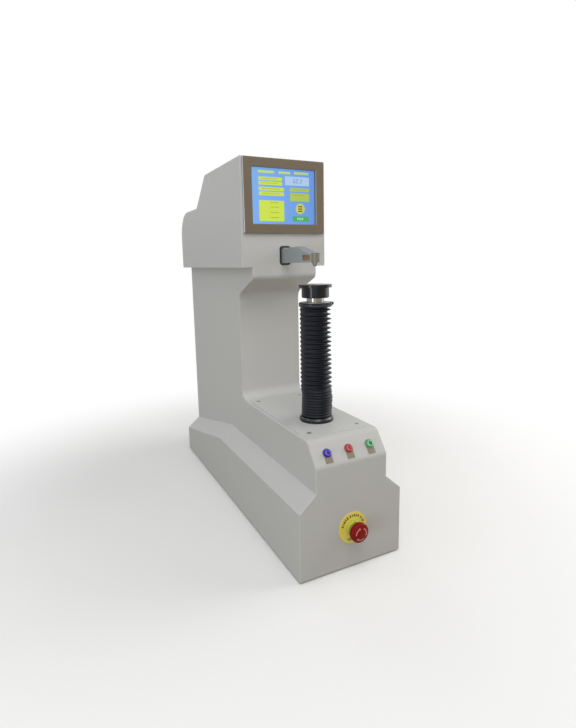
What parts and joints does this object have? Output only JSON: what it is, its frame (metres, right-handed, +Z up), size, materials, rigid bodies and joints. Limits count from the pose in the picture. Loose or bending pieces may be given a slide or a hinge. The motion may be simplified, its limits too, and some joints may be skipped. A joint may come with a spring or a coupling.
{
  "type": "hardness tester",
  "caption": "Bench hardness tester with a motor-driven elevating screw under a bellows, a projecting indenter nose, a touch display and an emergency stop.",
  "frame": {"origin": "on the floor, under the middle of the overall bounding box", "axes": "+X across the width to the right seen from the front, +Y from the front to the back, +Z up along the test axis"},
  "size_m": [0.208, 0.715, 0.73],
  "materials": {
    "body_paint": "satin",
    "bezel_steel": "brushed",
    "nose_steel": "polished",
    "black_steel": "black oxide, satin",
    "bright_steel": "ground",
    "chrome": "polished",
    "rubber": "matt",
    "cast_iron": "painted casting",
    "bronze": "machined",
    "zinc_plate": "zinc plated",
    "black_plastic": "matt",
    "red_plastic": "gloss",
    "yellow_plastic": "satin",
    "blue_lens": "gloss",
    "red_lens": "gloss",
    "green_lens": "gloss",
    "label_grey": "anodised label",
    "glass": "lit touch screen glass",
    "display": "lit display",
    "aluminium": "milled",
    "board_green": "circuit board",
    "belt_rubber": "matt"
  },
  "bodies": {
    "machine": {"base_cover": "body_paint", "table_plate": "body_paint", "table_screws": "black_steel", "column_cover": "body_paint", "rear_cover": "body_paint", "rear_cover_screws": "black_steel", "head_cover": "body_paint", "head_front_panel": "body_paint", "head_base_plate": "body_paint", "bezel": "bezel_steel", "touch_glass": "glass", "display_module": "display", "nose_housing": "nose_steel", "nose_trim": "black_plastic", "lever_bracket": "zinc_plate", "pivot_pin": "bright_steel", "load_motor": "aluminium", "load_frame": "cast_iron", "base_plate": "zinc_plate", "levelling_feet": "zinc_plate", "bellows_bottom_ring": "black_plastic", "bellows": "rubber", "thrust_bearing": "bright_steel", "drive_belt": "belt_rubber", "nut_housing": "zinc_plate", "motor_plate": "zinc_plate", "lift_motor": "aluminium", "estop_legend": "yellow_plastic", "estop_body": "black_plastic", "estop_nut": "black_plastic", "contact_block": "black_plastic", "button_bodies": "black_plastic", "button_labels": "label_grey", "mains_inlet": "black_plastic", "power_supply": "aluminium", "motor_driver": "aluminium", "control_board": "board_green"},
    "lift": {"elevating_screw": "bright_steel", "anvil": "black_steel", "bellows_collar": "chrome", "bellows_clamp": "black_steel"},
    "nut": {"lift_nut": "bronze", "nut_pulley": "aluminium"},
    "motor_rotor": {"motor_pulley": "aluminium", "motor_shaft": "bright_steel"},
    "lever": {"loading_lever": "bronze"},
    "indenter_unit": {"indenter_spindle": "bright_steel", "indenter": "bright_steel"},
    "drawbar_unit": {"drawbar": "bright_steel", "load_cell": "bright_steel", "link_pin": "bright_steel"},
    "blue_button": {"button_blue": "blue_lens"},
    "red_button": {"button_red": "red_lens"},
    "green_button": {"button_green": "green_lens"},
    "estop_stem": {"estop_plunger": "red_plastic"},
    "estop_head": {"estop_mushroom": "red_plastic"},
    "rocker": {"power_rocker": "black_plastic"}
  },
  "joints": [
    {"name": "nut_spin", "type": "hinge", "parent": "machine", "child": "nut", "pos_m": [0, -0.21, 0.17], "axis": [0, 0, 1], "range_deg": [-1620, 7800]},
    {"name": "lift", "type": "slide", "parent": "machine", "child": "lift", "axis": [0, 0, 1], "range_m": [-0.1301, 0.0271], "deforming": ["bellows"]},
    {"name": "motor_spin", "type": "hinge", "parent": "machine", "child": "motor_rotor", "pos_m": [0, -0.095, 0.17], "axis": [0, 0, 1], "range_deg": [-4455.5, 21450.5]},
    {"name": "lever_swing", "type": "hinge", "parent": "machine", "child": "lever", "pos_m": [0, -0.045, 0.546], "axis": [1, 0, 0], "range_deg": [0, 1.38]},
    {"name": "indenter_stroke", "type": "slide", "parent": "machine", "child": "indenter_unit", "axis": [0, 0, 1], "range_m": [-0.004, 0]},
    {"name": "drawbar_stroke", "type": "slide", "parent": "machine", "child": "drawbar_unit", "axis": [0, 0, 1], "range_m": [0, 0.0035]},
    {"name": "blue_button_press", "type": "slide", "parent": "machine", "child": "blue_button", "axis": [0, 0.8051, -0.5932], "range_m": [0, 0.003], "stiffness_N_per_m": 400, "springref_m": -0.001},
    {"name": "red_button_press", "type": "slide", "parent": "machine", "child": "red_button", "axis": [0, 0.8051, -0.5932], "range_m": [0, 0.003], "stiffness_N_per_m": 400, "springref_m": -0.001},
    {"name": "green_button_press", "type": "slide", "parent": "machine", "child": "green_button", "axis": [0, 0.8051, -0.5932], "range_m": [0, 0.003], "stiffness_N_per_m": 400, "springref_m": -0.001},
    {"name": "estop_press", "type": "slide", "parent": "machine", "child": "estop_stem", "axis": [0, 1, 0], "range_m": [0, 0.005]},
    {"name": "estop_twist", "type": "hinge", "parent": "estop_stem", "child": "estop_head", "pos_m": [0, -0.35, 0.075], "axis": [0, 1, 0], "range_deg": [0, 30], "stiffness_Nm_per_rad": 0.05},
    {"name": "power_rocker_tilt", "type": "hinge", "parent": "machine", "child": "rocker", "pos_m": [0.034, 0.35, 0.1375], "axis": [1, 0, 0], "range_deg": [0, 20]}
  ],
  "couplings": [
    {"joint": "lift", "follows": "nut_spin", "m_per_rad": -0.00095493},
    {"joint": "motor_spin", "follows": "nut_spin", "ratio": 2.75},
    {"joint": "indenter_stroke", "follows": "lever_swing", "m_per_rad": -0.165},
    {"joint": "drawbar_stroke", "follows": "lever_swing", "m_per_rad": 0.145}
  ]
}
